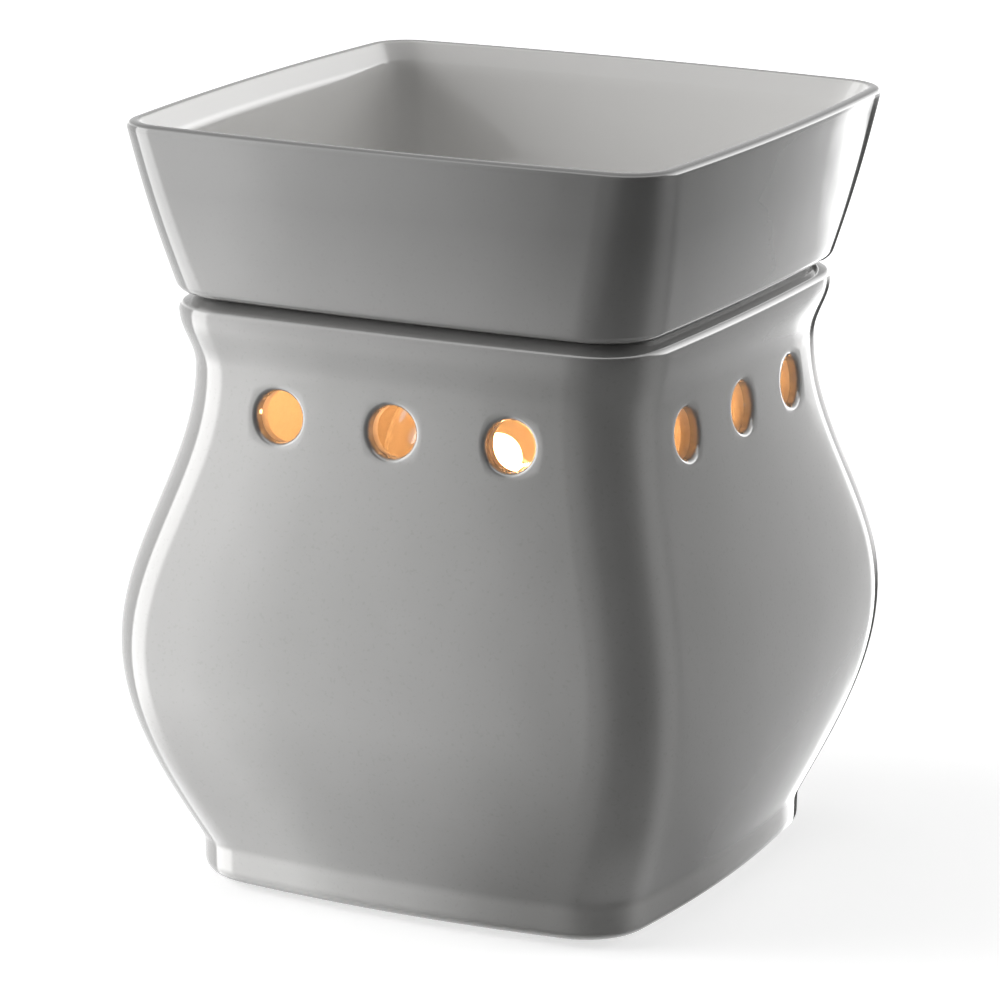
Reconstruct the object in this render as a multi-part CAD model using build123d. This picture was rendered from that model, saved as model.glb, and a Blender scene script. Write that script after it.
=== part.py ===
from build123d import *
from math import atan, cos, pi, sin, sqrt, tan
import os

# Wax melt warmer: a square glazed ceramic body with a waist and a belly, a lift-off ceramic dish,
# and a candelabra bulb inside that melts the wax and shines through three round holes a side.
# Millimetres, +Z up, origin on the table under the middle, front face towards -Y.

# Shared by every piece
overrun = 1.0
flat_clearance = 0.05
skin_clearance = 0.3

# Body shell: widths are measured between the middles of opposite sides
table_gap = 1.2
foot_width = 99.4
foot_band = 7.5
foot_bow = 3.4
foot_corner = 14.0
foot_edge = 3.3
foot_wall = 6.5
belly_width = 121.1
belly_rise = 41.3
belly_bow = 2.2
belly_corner = 12.4
neck_width = 99.4
neck_rise = 54.0
neck_bow = 2.2
neck_corner = 13.0
collar_width = 104.0
collar_rise = 11.0
collar_bow = 1.8
collar_corner = 14.0
collar_edge = 2.0
collar_shoulder = 3.5
collar_slope = 30.0
body_wall = 4.5
deck_thickness = 5.0
deck_opening = 72.0
deck_opening_bow = 1.2
deck_opening_corner = 10.0
floor_recess = 5.3
floor_thickness = 5.0
floor_ledge = 15.7

# Light holes
hole_radius = 5.0
hole_spacing = 24.4
hole_drop = 20.7
hole_edge = 0.8
hole_flare = 70.0
holes_per_side = 3
side_count = 4

# Wax dish
seat_height = 0.4
seat_width = 84.0
dish_height = 33.8
dish_heel_width = 102.9
dish_heel_bow = 1.5
dish_heel_corner = 12.6
dish_heel_radius = 2.0
dish_swell = 0.4
rim_width = 117.9
rim_bow = 2.5
rim_corner = 9.9
rim_edge = 1.7
dish_wall = 4.0
dish_floor = 4.0
dish_well_radius = 6.0
dish_underside_step = 0.5
locating_play = 0.7
locating_depth = 4.0
locating_wall = 3.5

# Base plate, pressed from sheet steel
plate_thickness = 1.0
plate_play = 0.7
plate_raise = 3.0
plate_ramp_gap = 4.0
plate_ramp_run = 4.0
vent_count = 12
vent_length = 9.0
vent_width = 2.6
vent_inset = 7.5

# Feet, screws and floor nuts
fixing_inset = 18.7
foot_pad_radius = 6.2
foot_root_radius = 7.4
screw_shank_radius = 1.45
screw_head_radius = 2.9
screw_head_height = 1.8
screw_hole_radius = 1.75
screw_recess = 2.7
screw_recess_radius = 3.6
screw_slot_width = 0.8
screw_slot_depth = 0.9
screw_reach = 1.5
nut_barrel_radius = 3.1
nut_barrel_length = 4.5
nut_flange_radius = 5.5
nut_flange_thickness = 1.5

# Cord grommet in the lower back wall, where the mains cord would come in
grommet_height = 9.5
grommet_bore_radius = 3.0
grommet_neck_radius = 4.7
grommet_outer_radius = 7.0
grommet_outer_thickness = 1.8
grommet_inner_radius = 6.2
grommet_inner_thickness = 1.6

# Threaded stem that clamps the lamp holder's bracket to the base plate
stem_radius = 5.0
stem_bore_radius = 3.5
stem_nut_flats = 14.0
stem_nut_height = 2.5
stem_showing = 1.0
stem_below = 0.2
lock_washer_thickness = 0.6
lock_washer_radius = 8.0
lock_washer_split = 1.0

# Lamp holder, its bracket and contacts
bracket_thickness = 1.2
bracket_width = 9.0
bracket_base_radius = 9.0
bracket_leg_rise = 15.0
holder_standoff = 5.2
holder_radius = 11.5
holder_length = 29.5
holder_flat_half = 10.0
holder_flat_rise = 9.5
holder_mouth_edge = 0.8
holder_socket_depth = 19.5
rivet_radius = 1.2
rivet_head_radius = 2.2
rivet_head_height = 0.8
rivet_depth = 2.5
rivet_rise = 5.0
shell_inner_radius = 6.35
shell_thickness = 0.4
shell_length = 18.5
tongue_width = 4.0
tongue_thickness = 0.4
tongue_rise = 1.2
tongue_foot = 2.0
tongue_length = 6.4

# Holder leads and the crimp caps that end them
lead_radius = 1.1
lead_spread = 4.0
lead_socket = 2.5
cap_radius = 3.5
cap_length = 14.0
cap_side_gap = 13.0
cap_front_gap = 2.5
cap_bore_depth = 8.0
cap_approach = 7.0

# Candelabra bulb
globe_radius = 25.0
glass_thickness = 0.7
bulb_neck_radius = 5.25
bulb_neck_length = 6.8
bulb_neck_blend = 8.0
bulb_cap_radius = 5.95
bulb_cap_thickness = 0.3
bulb_cap_length = 16.0
bulb_cap_base_radius = 4.2
bulb_insulator_height = 2.4
bulb_contact_radius = 2.3
bulb_contact_height = 0.8
mount_radius = 2.2
mount_length = 15.0
pinch_width = 7.6
pinch_thickness = 2.6
pinch_height = 7.0
rod_radius = 0.8
rod_length = 15.0
button_radius = 1.5
wire_radius = 0.35
wire_spread = 2.6
support_radius = 0.2
filament_radius = 0.3
filament_ring_radius = 9.0
filament_rise = 19.5

# Levels that the sizes above add up to
shell_z = table_gap
crease_z = shell_z + foot_band
belly_z = crease_z + belly_rise
neck_z = belly_z + neck_rise
collar_top_z = neck_z + collar_rise
collar_turn = pi / 2 - collar_slope * pi / 180
edge_inset, edge_rise = collar_edge * (1 - cos(collar_turn)), collar_edge * sin(collar_turn)
deck_z = collar_top_z + edge_rise + (collar_shoulder - edge_inset) / tan(collar_turn)
dish_z = deck_z + seat_height
rim_z = dish_z + dish_height
hole_z = deck_z - hole_drop
floor_under_z = shell_z + floor_recess
floor_top_z = floor_under_z + floor_thickness
plate_under_z = floor_under_z - plate_thickness
pan_under_z = plate_under_z + plate_raise
pan_top_z = pan_under_z + plate_thickness
bracket_z = pan_top_z + lock_washer_thickness
upper_nut_z = bracket_z + bracket_thickness
holder_z = upper_nut_z + holder_standoff
socket_floor_z = holder_z + holder_length - holder_socket_depth
tongue_top_z = socket_floor_z + tongue_rise + tongue_thickness
bulb_z = tongue_top_z + skin_clearance
insulator_z = bulb_z + bulb_contact_height
bulb_cap_z = insulator_z + bulb_insulator_height
bulb_cap_top_z = bulb_cap_z + bulb_cap_length
globe_z = bulb_cap_top_z + bulb_neck_length + globe_radius
pinch_top_z = bulb_cap_top_z + mount_length
filament_z = pinch_top_z + filament_rise

# Places that follow the foot's width
fixing_offset = foot_width / 2 - fixing_inset
floor_opening_radius = foot_width / 2 - floor_ledge
plate_ramp_radius = floor_opening_radius - plate_ramp_gap
plate_pan_radius = plate_ramp_radius - plate_ramp_run
vent_circle_radius = plate_pan_radius - vent_inset
cap_spread = fixing_offset - cap_side_gap
cap_back = fixing_offset - cap_front_gap

right_angle = 90
run_share = 0.45
lead_turn_share = 0.6
support_shares = (0.25, 0.5, 0.75)
fixing_signs = {
    "front_left": (-1, -1),
    "front_right": (1, -1),
    "rear_left": (-1, 1),
    "rear_right": (1, 1),
}


def between(start, end, share):
    """The value a share of the way from start to end."""
    return start + (end - start) * share


def smooth(share):
    """A share that starts and stops gently."""
    return (1 - cos(pi * share)) / 2


def steps(start, end, count):
    """Evenly spaced values from start to end, both included."""
    return [between(start, end, i / count) for i in range(count + 1)]


def side_radius(width, bow):
    """The radius of a side that bulges by bow."""
    return ((width / 2 - bow) ** 2 + bow**2) / (2 * bow)


def bowed_square(width, bow, corner, z):
    """A level outline: four sides that bulge by bow, joined by tangent corner arcs."""
    half = width / 2
    radius = side_radius(width, bow)
    drop = radius - half
    reach = radius - corner
    corner_centre = (sqrt(2 * reach**2 - drop**2) - drop) / 2
    end_x = radius * corner_centre / reach
    end_y = drop - radius * (corner_centre + drop) / reach
    tip = corner_centre + corner / sqrt(2)
    side = ThreePointArc((-end_x, end_y), (0, -half), (end_x, end_y))
    bend = ThreePointArc((end_x, end_y), (tip, -tip), (-end_y, -end_x))
    edges = []
    for quarter in range(side_count):
        edges += [part.rotate(Axis.Z, quarter * right_angle) for part in (side, bend)]
    return Wire(edges).moved(Location((0, 0, z)))


def slab(outline, thickness):
    """A solid straight up from a level outline."""
    return Solid.extrude(Face(outline), Vector(0, 0, thickness))


def tube(outer_radius, inner_radius, low_z, high_z, x=0, y=0):
    """An upright round tube; an inner radius of zero makes it a rod."""
    size = high_z - low_z
    rod = Solid.make_cylinder(outer_radius, size, Plane((x, y, low_z)))
    if inner_radius == 0:
        return rod
    return rod - drill(inner_radius, low_z, high_z, x, y)


def drill(radius, low_z, high_z, x=0, y=0):
    """An upright round cutter that runs past both levels."""
    size = high_z - low_z + 2 * overrun
    return Solid.make_cylinder(radius, size, Plane((x, y, low_z - overrun)))


def turned(*points):
    """A solid turned about the Z axis from its half profile in (radius, z)."""
    profile = make_face(Polyline(*[(r, 0, z) for r, z in points], close=True))
    return revolve(profile, Axis.Z)


def body_sizes(z):
    """Width, bow and corner radius of the body's outside at a height."""
    if z <= crease_z:
        return foot_width, foot_bow, foot_corner
    if z <= belly_z:
        share = sin(pi / 2 * (z - crease_z) / belly_rise)
        low, high = (foot_width, foot_bow, foot_corner), (belly_width, belly_bow, belly_corner)
    elif z <= neck_z:
        share = smooth((z - belly_z) / neck_rise)
        low, high = (belly_width, belly_bow, belly_corner), (neck_width, neck_bow, neck_corner)
    else:
        share = smooth(min((z - neck_z) / collar_rise, 1))
        low, high = (neck_width, neck_bow, neck_corner), (collar_width, collar_bow, collar_corner)
    return tuple(between(a, b, share) for a, b in zip(low, high))


def body_outline(z, inset=0):
    """The body's outline at a height, drawn in by inset."""
    width, bow, corner = body_sizes(z)
    return bowed_square(width - 2 * inset, bow, corner - inset, z)


def body_shell():
    """The ceramic body: belly, waist and collar over a foot band, open below and above."""
    band = slab(body_outline(shell_z), foot_band)
    band = fillet(band.edges().group_by(Axis.Z)[0], foot_edge)
    levels = steps(crease_z, belly_z, 4) + steps(belly_z, neck_z, 5)[1:] + steps(neck_z, collar_top_z, 2)[1:]
    belly = Solid.make_loft([body_outline(z) for z in levels]) + collar_top()
    chamber_levels = steps(floor_top_z, deck_z - deck_thickness, 9)
    chamber = Solid.make_loft([body_outline(z, body_wall) for z in chamber_levels])
    recess = slab(body_outline(shell_z - overrun, foot_wall), floor_recess + overrun)
    shell = band + belly - chamber - recess
    shell -= slab(deck_opening_outline(deck_z - deck_thickness - overrun), deck_thickness + 2 * overrun)
    shell -= drill(floor_opening_radius, floor_under_z, floor_top_z)
    for sign_x, sign_y in fixing_signs.values():
        x, y = sign_x * fixing_offset, sign_y * fixing_offset
        shell -= drill(nut_barrel_radius + flat_clearance, floor_under_z, floor_top_z, x, y)
    shell -= grommet_place() * tube(grommet_neck_radius + flat_clearance, 0, -collar_width / 4, overrun)
    for cutter in light_holes():
        shell -= cutter
    return shell


def collar_top():
    """The collar's rounded edge, and above it a shoulder that slopes up to the deck."""
    edge = [(collar_edge * (1 - cos(a)), collar_top_z + collar_edge * sin(a)) for a in steps(0, collar_turn, 3)]
    shoulder = [edge[-1], (collar_shoulder, deck_z)]
    bands = [Solid.make_loft([body_outline(z, inset) for inset, z in band]) for band in (edge, shoulder)]
    return bands[0] + bands[1]


def wall_place(x, z):
    """A frame on the outside of the front wall, local +Z square to it and pointing out."""
    width, bow, corner = body_sizes(z)
    radius = side_radius(width, bow)
    depth = sqrt(radius**2 - x**2)
    lean = (body_sizes(z + overrun)[0] - body_sizes(z - overrun)[0]) / (4 * overrun)
    outward = Vector(x / radius, -depth / radius, -lean)
    return Plane((x, radius - width / 2 - depth, z), z_dir=outward).location


def light_hole():
    """A round cutter along local Z whose mouth is rounded, as the glaze leaves it."""
    turn = hole_flare * pi / 180
    low, middle, high = [
        (hole_radius + hole_edge * (1 - cos(a)), 0, hole_edge * (sin(a) - sin(turn)))
        for a in (0, turn / 2, turn)
    ]
    past = (high[0] + overrun * tan(turn), 0, overrun)
    inside = -2 * body_wall
    start, end = (hole_radius, 0, inside), (0, 0, overrun)
    edges = [Line((0, 0, inside), start), Line(start, low), ThreePointArc(low, middle, high),
             Line(high, past), Line(past, end), Line(end, (0, 0, inside))]
    return revolve(make_face(edges), Axis.Z)


def deck_opening_outline(z, play=0):
    """The opening in the deck that the dish's locating ring drops into."""
    return bowed_square(deck_opening - 2 * play, deck_opening_bow, deck_opening_corner - play, z)


def light_holes():
    """The cutters in place in the upper walls, three to a side and square to them."""
    first = -(holes_per_side - 1) / 2
    for side in range(side_count):
        for i in range(holes_per_side):
            cutter = wall_place((first + i) * hole_spacing, hole_z) * light_hole()
            yield cutter.rotate(Axis.Z, side * right_angle)


def dish_outline(z, inset=0):
    """The dish's outline at a height, a nearly straight flare, drawn in by inset."""
    share = (z - dish_z) / dish_height
    width = between(dish_heel_width, rim_width, share) + 2 * dish_swell * sin(pi * share)
    bow = between(dish_heel_bow, rim_bow, share)
    corner = between(dish_heel_corner, rim_corner, share)
    return bowed_square(width - 2 * inset, bow, corner - inset, z)


def dish_form(low_z, heel_radius, inset, lip):
    """A flared block from low_z to the rim: rounded heel, flare, and a lip that leans in by lip."""
    straight_z, lip_z = low_z + heel_radius, rim_z - rim_edge
    quarter = steps(0, pi / 2, 3)
    heel = [(heel_radius * (1 - sin(a)), low_z + heel_radius * (1 - cos(a))) for a in quarter]
    flare = [(0, z) for z in steps(straight_z, lip_z, 3)]
    rim = [(lip * (1 - cos(a)), lip_z + rim_edge * sin(a)) for a in quarter]
    stretches = [
        Solid.make_loft([dish_outline(z, inset + more) for more, z in stretch])
        for stretch in (heel, flare, rim)
    ]
    return stretches[0] + stretches[1] + stretches[2]


def wax_dish():
    """The ceramic dish: rounded lip, smooth well, a seat ring and a ring that centres it."""
    well_z = dish_z + dish_underside_step + dish_floor
    dish = dish_form(dish_z, dish_heel_radius, 0, rim_edge)
    dish -= dish_form(well_z, dish_well_radius, dish_wall, -rim_edge)
    seat = bowed_square(seat_width, dish_heel_bow, dish_heel_corner, deck_z)
    dish += slab(seat, seat_height)
    ring_z = deck_z - locating_depth
    dish += slab(deck_opening_outline(ring_z, locating_play), locating_depth + seat_height)
    hollow = deck_opening_outline(ring_z - overrun, locating_play + locating_wall)
    return dish - slab(hollow, dish_z + dish_underside_step - ring_z + overrun)


def base_plate():
    """The pressed plate that closes the body: a raised pan, a ring of vents and four holes."""
    width = foot_width - 2 * foot_wall - 2 * plate_play
    corner = foot_corner - foot_wall - plate_play
    sheet = slab(bowed_square(width, foot_bow, corner, plate_under_z), plate_thickness)
    sheet -= drill(plate_ramp_radius, plate_under_z, floor_under_z)
    hub = stem_radius + flat_clearance
    pan = turned(
        (hub, pan_top_z),
        (plate_pan_radius, pan_top_z),
        (plate_ramp_radius, floor_under_z),
        (plate_ramp_radius + plate_thickness, floor_under_z),
        (plate_ramp_radius + plate_thickness, plate_under_z),
        (plate_ramp_radius, plate_under_z),
        (plate_pan_radius, pan_under_z),
        (hub, pan_under_z),
    )
    plate = sheet + pan
    slot = extrude(SlotOverall(vent_length, vent_width), plate_thickness + 2 * overrun)
    for place in PolarLocations(vent_circle_radius, vent_count):
        plate -= Pos(0, 0, pan_under_z - overrun) * place * slot
    for sign_x, sign_y in fixing_signs.values():
        x, y = sign_x * fixing_offset, sign_y * fixing_offset
        plate -= drill(screw_hole_radius, plate_under_z, floor_under_z, x, y)
    return plate


def foot(sign_x, sign_y):
    """A rubber foot, tapered, with a recess for its screw head."""
    pad = turned((0, 0), (foot_pad_radius, 0), (foot_root_radius, plate_under_z), (0, plate_under_z))
    pad -= drill(screw_hole_radius, 0, plate_under_z)
    pad -= tube(screw_recess_radius, 0, -overrun, screw_recess)
    return Pos(sign_x * fixing_offset, sign_y * fixing_offset, 0) * pad


def base_screws():
    """Four pan-head screws up through the feet and the plate into the floor nuts."""
    tip_z = floor_top_z + nut_flange_thickness + screw_reach
    head_z = screw_recess - screw_head_height
    crown = screw_head_height / 2
    screw = turned(
        (0, head_z),
        (screw_head_radius - crown, head_z),
        (screw_head_radius, head_z + crown),
        (screw_head_radius, screw_recess),
        (screw_shank_radius, screw_recess),
        (screw_shank_radius, tip_z),
        (0, tip_z),
    )
    slot = Box(screw_head_radius, screw_slot_width, 2 * screw_slot_depth)
    for turn in (0, right_angle):
        screw -= Pos(0, 0, head_z) * Rot(0, 0, turn) * slot
    return [Pos(x * fixing_offset, y * fixing_offset, 0) * screw for x, y in fixing_signs.values()]


def floor_nuts():
    """Four flanged nylon nuts, dropped into the ceramic floor from inside."""
    nut = tube(nut_flange_radius, screw_shank_radius + flat_clearance,
               floor_top_z, floor_top_z + nut_flange_thickness)
    nut += tube(nut_barrel_radius, screw_shank_radius + flat_clearance,
                floor_top_z - nut_barrel_length, floor_top_z)
    return [Pos(x * fixing_offset, y * fixing_offset, 0) * nut for x, y in fixing_signs.values()]


def grommet_place():
    """Where the grommet's axis leaves the back wall: local +Z points out, square to the wall."""
    z = crease_z + grommet_height
    swell = (belly_width - foot_width) / 2
    lean = atan(swell * pi / 2 / belly_rise * cos(pi / 2 * grommet_height / belly_rise))
    outward = (0, cos(lean), -sin(lean))
    return Plane((0, body_sizes(z)[0] / 2, z), x_dir=(1, 0, 0), z_dir=outward).location


def cord_grommet():
    """The rubber grommet: outer flange, neck through the wall and a tapered inner flange."""
    inside = -body_wall - skin_clearance
    ring = turned(
        (grommet_bore_radius, grommet_outer_thickness + skin_clearance),
        (grommet_outer_radius - grommet_outer_thickness / 2, grommet_outer_thickness + skin_clearance),
        (grommet_outer_radius, grommet_outer_thickness / 2 + skin_clearance),
        (grommet_outer_radius, skin_clearance),
        (grommet_neck_radius, skin_clearance),
        (grommet_neck_radius, inside),
        (grommet_inner_radius, inside),
        (grommet_neck_radius, inside - grommet_inner_thickness),
        (grommet_bore_radius, inside - grommet_inner_thickness),
    )
    return grommet_place() * ring


def threaded_stem():
    """The hollow stem through plate and bracket, plain over its thread."""
    low_z = pan_under_z - stem_nut_height - stem_below
    return tube(stem_radius, stem_bore_radius, low_z, upper_nut_z + stem_nut_height + stem_showing)


def stem_nut(low_z):
    """A thin hexagon nut on the stem."""
    corner_radius = stem_nut_flats / 2 / cos(pi / 6)
    nut = Pos(0, 0, low_z) * extrude(RegularPolygon(corner_radius, 6), stem_nut_height)
    return nut - drill(stem_radius + flat_clearance, low_z, low_z + stem_nut_height)


def lock_washer():
    """A split spring washer between plate and bracket."""
    ring = tube(lock_washer_radius, stem_radius + flat_clearance, pan_top_z, bracket_z)
    gap = Box(2 * lock_washer_radius, lock_washer_split, 2 * lock_washer_thickness + overrun)
    return ring - Pos(lock_washer_radius, 0, pan_top_z) * gap


def holder_bracket():
    """The steel strap: a round foot on the stem and two legs up the holder's flats."""
    inner_half = holder_flat_half + flat_clearance
    strap = tube(bracket_base_radius, stem_radius + flat_clearance, bracket_z, upper_nut_z)
    bridge = Box(2 * inner_half + 2 * bracket_thickness, bracket_width, bracket_thickness,
                 align=(Align.CENTER, Align.CENTER, Align.MIN))
    strap += Pos(0, 0, bracket_z) * bridge - drill(stem_radius + flat_clearance, bracket_z, upper_nut_z)
    for sign in (-1, 1):
        leg = Box(bracket_thickness, bracket_width, bracket_leg_rise,
                  align=(Align.CENTER, Align.CENTER, Align.MIN))
        leg = fillet(leg.edges().filter_by(Axis.X).group_by(Axis.Z)[-1], bracket_width / 4)
        strap += Pos(sign * (inner_half + bracket_thickness / 2), 0, bracket_z) * leg
        hole = drill(rivet_radius + flat_clearance, -bracket_thickness, 0)
        strap -= rivet_place(sign) * hole
    return strap


def rivet_place(sign):
    """A frame on the outside of one bracket leg, local +Z pointing out."""
    x = holder_flat_half + flat_clearance + bracket_thickness
    return Plane((sign * x, 0, holder_z + rivet_rise), z_dir=(sign, 0, 0)).location


def bracket_rivets():
    """Two rivets that hold the bracket's legs to the holder."""
    crown = rivet_head_height / 2
    shank = -bracket_thickness - rivet_depth
    rivet = turned(
        (0, shank),
        (rivet_radius, shank),
        (rivet_radius, 0),
        (rivet_head_radius, 0),
        (rivet_head_radius, crown),
        (rivet_head_radius - crown, rivet_head_height),
        (0, rivet_head_height),
    )
    return [rivet_place(sign) * rivet for sign in (-1, 1)]


def lamp_holder():
    """The moulded holder: a barrel with flats, a socket, two lead holes and rivet holes."""
    top_z = holder_z + holder_length
    body = tube(holder_radius, 0, holder_z, top_z)
    body = fillet(body.edges().group_by(Axis.Z)[-1], holder_mouth_edge)
    socket_radius = shell_inner_radius + shell_thickness + flat_clearance
    body -= tube(socket_radius, 0, socket_floor_z, top_z + overrun)
    flat = Box(holder_radius, 2 * holder_radius + overrun, holder_flat_rise + overrun,
               align=(Align.MIN, Align.CENTER, Align.MIN))
    for turn in (0, 2 * right_angle, right_angle):
        body -= Rot(0, 0, turn) * Pos(holder_flat_half, 0, holder_z - overrun) * flat
    for sign in (-1, 1):
        reach = bracket_thickness + rivet_depth + flat_clearance
        body -= rivet_place(sign) * tube(rivet_radius + flat_clearance, 0, -reach, 0)
        lead_hole = Plane(lead_start(sign), z_dir=(0, 1, 0))
        body -= Solid.make_cylinder(lead_radius + flat_clearance, lead_socket + overrun, lead_hole)
    return body


def screw_shell():
    """The brass shell that the bulb screws into, plain at its thread's crest."""
    outer = shell_inner_radius + shell_thickness
    return tube(outer, shell_inner_radius, socket_floor_z, socket_floor_z + shell_length)


def centre_contact():
    """The brass tongue that springs up to the bulb's contact."""
    reach = tongue_length - bulb_contact_radius
    low, high = socket_floor_z, socket_floor_z + tongue_rise
    side = [
        (-reach, low),
        (tongue_foot - reach, low),
        (-bulb_contact_radius / 2, high),
        (bulb_contact_radius, high),
    ]
    under = [Vector(x, 0, z) for x, z in side]
    over = [point + Vector(0, 0, tongue_thickness) for point in reversed(under)]
    strip = make_face(Polyline(*under, *over, close=True))
    return extrude(strip, tongue_width / 2, dir=(0, 1, 0), both=True)


def lead_start(sign):
    """The inner end of a lead, inside the holder's back flat."""
    z = holder_z + holder_flat_rise / 2
    return (sign * lead_spread, holder_flat_half - lead_socket, z)


def lead_route(sign):
    """A lead's path: out of the holder, down and outwards, and into its crimp cap."""
    start = Vector(*lead_start(sign))
    cap_z = floor_top_z + flat_clearance + cap_radius
    end = Vector(sign * cap_spread, cap_back + cap_bore_depth, cap_z)
    lined_up = Vector(end.X, cap_back - cap_approach, cap_z)
    clear = Vector(start.X, between(holder_flat_half, lined_up.Y, lead_turn_share), start.Z)
    return [start, clear, lined_up, end]


def routed_tube(points, radius, name):
    """A round tube along straight runs joined by the largest tangent arcs."""
    runs = [b - a for a, b in zip(points, points[1:])]
    radii = []
    for a, b in zip(runs, runs[1:]):
        half_turn = a.get_angle(b) * pi / 180 / 2
        radii.append(run_share * min(a.length, b.length) / tan(half_turn))
    path = FilletPolyline(*points, radius=radii)
    section = Plane(origin=path @ 0, z_dir=path % 0) * Circle(radius)
    piece = sweep(section, path)
    wanted = section.area * path.length
    print(name, "radii", [round(r, 1) for r in radii], "volume share", round(piece.volume / wanted, 4))
    return piece


def crimp_cap(sign):
    """A closed-end crimp cap, lying on the ceramic floor with its mouth to the front."""
    lip = cap_radius - lead_radius
    cap = turned(
        (0, cap_length),
        (cap_radius - lip / 2, cap_length),
        (cap_radius, cap_length - lip / 2),
        (cap_radius, 0),
        (lead_radius + flat_clearance, 0),
        (lead_radius + flat_clearance, cap_bore_depth + flat_clearance),
        (0, cap_bore_depth + flat_clearance),
    )
    z = floor_top_z + flat_clearance + cap_radius
    return Plane((sign * cap_spread, cap_back, z), z_dir=(0, 1, 0)).location * cap


def globe_form(inset):
    """A globe running down into a neck, drawn in by inset."""
    low_z = bulb_cap_z + bulb_cap_length / 2
    ball = Pos(0, 0, globe_z) * Sphere(globe_radius - inset)
    form = ball + tube(bulb_neck_radius - inset, 0, low_z - inset, globe_z)
    joint = form.edges().filter_by(GeomType.CIRCLE).filter_by(
        lambda edge: abs(edge.radius - bulb_neck_radius + inset) < flat_clearance)
    return fillet(joint.sort_by(Axis.Z)[-1], bulb_neck_blend + inset)


def bulb_glass():
    """The clear globe, a thin blown shell open at the neck."""
    return globe_form(0) - globe_form(glass_thickness)


def bulb_cap():
    """The thin metal cap: a cone below, and a plain wall at its thread's crest."""
    outer, inner = bulb_cap_radius, bulb_cap_radius - bulb_cap_thickness
    cone_height = bulb_cap_radius - bulb_cap_base_radius
    return turned(
        (bulb_cap_base_radius, bulb_cap_z),
        (outer, bulb_cap_z + cone_height),
        (outer, bulb_cap_top_z),
        (inner, bulb_cap_top_z),
        (inner, bulb_cap_z + cone_height + bulb_cap_thickness),
        (bulb_cap_base_radius, bulb_cap_z + bulb_cap_thickness),
    )


def bulb_insulator():
    """The dark glass cone between the cap and the contact."""
    return turned(
        (0, insulator_z),
        (bulb_contact_radius, insulator_z),
        (bulb_cap_base_radius - flat_clearance, bulb_cap_z),
        (bulb_cap_base_radius - flat_clearance, bulb_cap_z + bulb_cap_thickness),
        (0, bulb_cap_z + bulb_cap_thickness),
    )


def bulb_contact():
    """The solder button under the bulb."""
    edge = bulb_contact_height / 2
    return turned(
        (0, bulb_z),
        (bulb_contact_radius - edge, bulb_z),
        (bulb_contact_radius, bulb_z + edge),
        (bulb_contact_radius, insulator_z),
        (0, insulator_z),
    )


def bulb_stem():
    """The glass mount: a flare in the neck, a pinch for the wires, a rod and its button."""
    flare_z = bulb_cap_z + bulb_cap_length / 2
    flare_radius = bulb_neck_radius - glass_thickness - flat_clearance
    pinch_z = pinch_top_z - pinch_height
    mount = turned(
        (0, flare_z),
        (flare_radius, flare_z),
        (flare_radius, flare_z + glass_thickness),
        (mount_radius, flare_z + mount_radius + glass_thickness),
        (mount_radius, pinch_z + mount_radius),
        (0, pinch_z + mount_radius),
    )
    pinch = Box(pinch_width, pinch_thickness, pinch_height, align=(Align.CENTER, Align.CENTER, Align.MIN))
    pinch = fillet(pinch.edges().filter_by(Axis.Z), pinch_thickness / 3)
    mount += Pos(0, 0, pinch_z) * pinch
    mount += tube(rod_radius, 0, pinch_top_z - rod_radius, pinch_top_z + rod_length)
    mount += Pos(0, 0, pinch_top_z + rod_length) * Sphere(button_radius)
    for sign in (-1, 1):
        hole_low = pinch_top_z - pinch_height / 2
        mount -= tube(wire_radius + flat_clearance, 0, hole_low, pinch_top_z + overrun, sign * wire_spread)
    return mount


def bulb_wire(sign):
    """A lead-in wire from the pinch out to one end of the filament."""
    points = [
        Vector(sign * wire_spread, 0, pinch_top_z - pinch_height / 2 + flat_clearance),
        Vector(sign * wire_spread, 0, pinch_top_z + mount_radius),
        Vector(sign * (filament_ring_radius + wire_radius + filament_radius), 0, filament_z),
    ]
    return routed_tube(points, wire_radius, "bulb wire")


def filament_supports():
    """Thin hooks from the rod's button out to the filament."""
    button_z = pinch_top_z + rod_length
    hub = Vector(0, 0, button_z)
    hooks = []
    for share in support_shares:
        angle = -pi * share
        out = Vector(cos(angle), sin(angle), 0)
        start = hub + out * (button_radius + flat_clearance)
        end = out * filament_ring_radius + Vector(0, 0, filament_z - filament_radius - flat_clearance)
        run = end - start
        hooks.append(Solid.make_cylinder(support_radius, run.length, Plane(start, z_dir=run)))
    return hooks


def filament():
    """The filament as a plain half ring."""
    ring = ThreePointArc((-filament_ring_radius, 0), (0, -filament_ring_radius), (filament_ring_radius, 0))
    path = ring.moved(Location((0, 0, filament_z)))
    return sweep(Plane(origin=path @ 0, z_dir=path % 0) * Circle(filament_radius), path)


def write(name, shape):
    """One file for one named piece, or for a group of like fasteners."""
    shape = Compound(children=list(shape)) if isinstance(shape, list) else shape
    export_step(shape, f"parts/{name}.step")


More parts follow.
